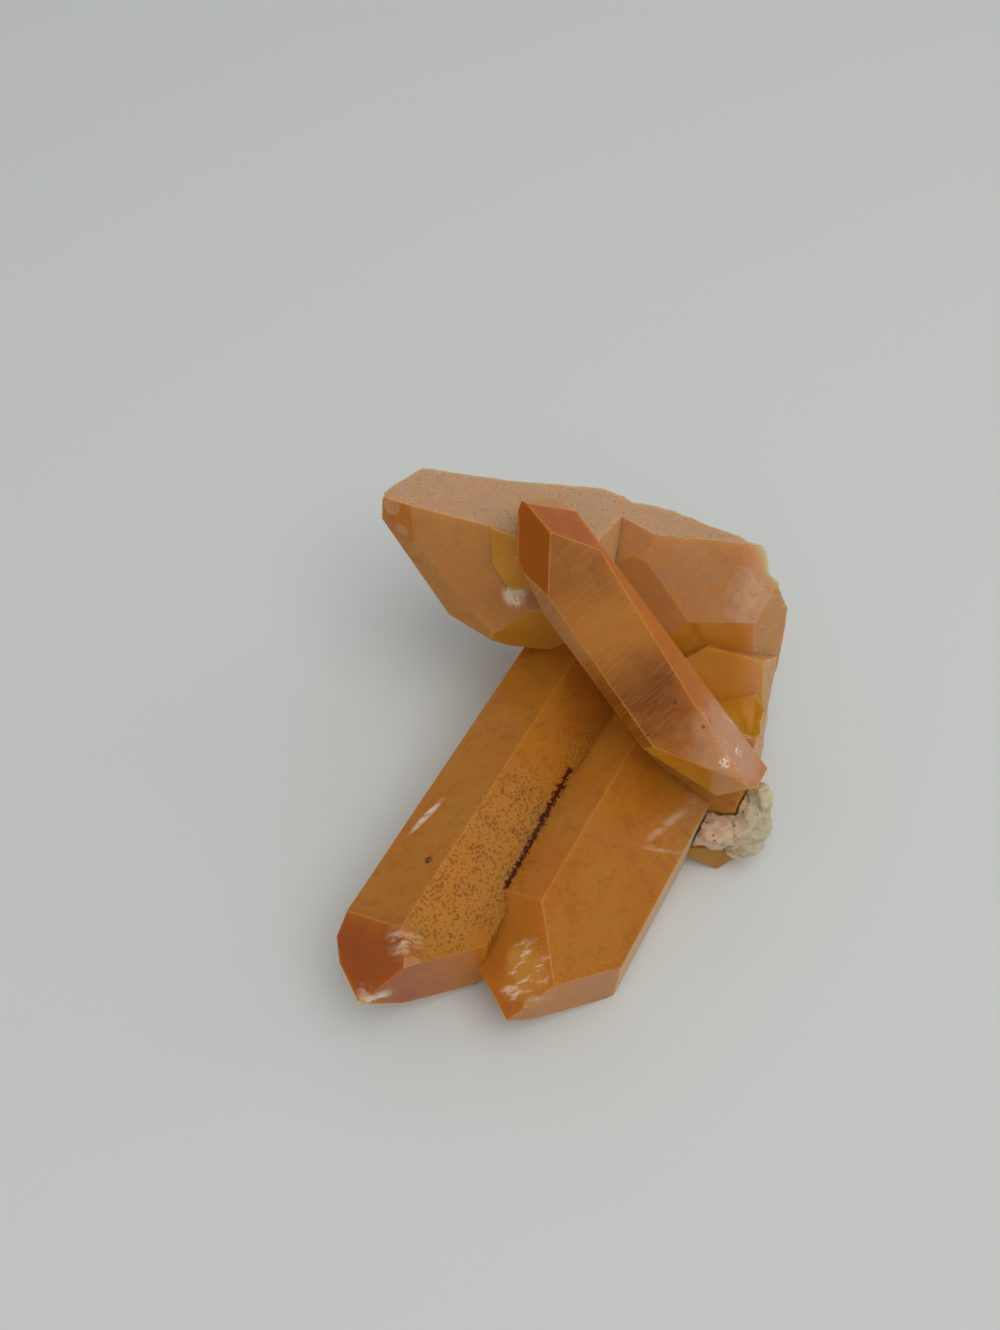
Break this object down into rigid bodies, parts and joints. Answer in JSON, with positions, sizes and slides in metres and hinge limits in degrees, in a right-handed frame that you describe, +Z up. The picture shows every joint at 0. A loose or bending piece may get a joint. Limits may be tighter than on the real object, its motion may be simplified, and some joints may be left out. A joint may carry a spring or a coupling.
{
  "type": "tangerine quartz cluster",
  "caption": "Orange translucent quartz cluster lying on its side: parallel front prisms, a crystal crossing over them, a frosted slab behind and a crumb of pale matrix.",
  "frame": {"origin": "bottom centre of the bounding box, on the surface the cluster lies on", "axes": "+Z up as it lies; the tips of the front prisms point to -Y and a little to -X, and the frosted slab stands at +Y"},
  "size_m": [0.0646, 0.0762, 0.0459],
  "materials": {
    "tangerine_quartz": "polished",
    "pale_matrix": "rough"
  },
  "bodies": {
    "root": {"quartz_cluster": "tangerine_quartz", "pale_matrix": "pale_matrix"}
  },
  "joints": []
}
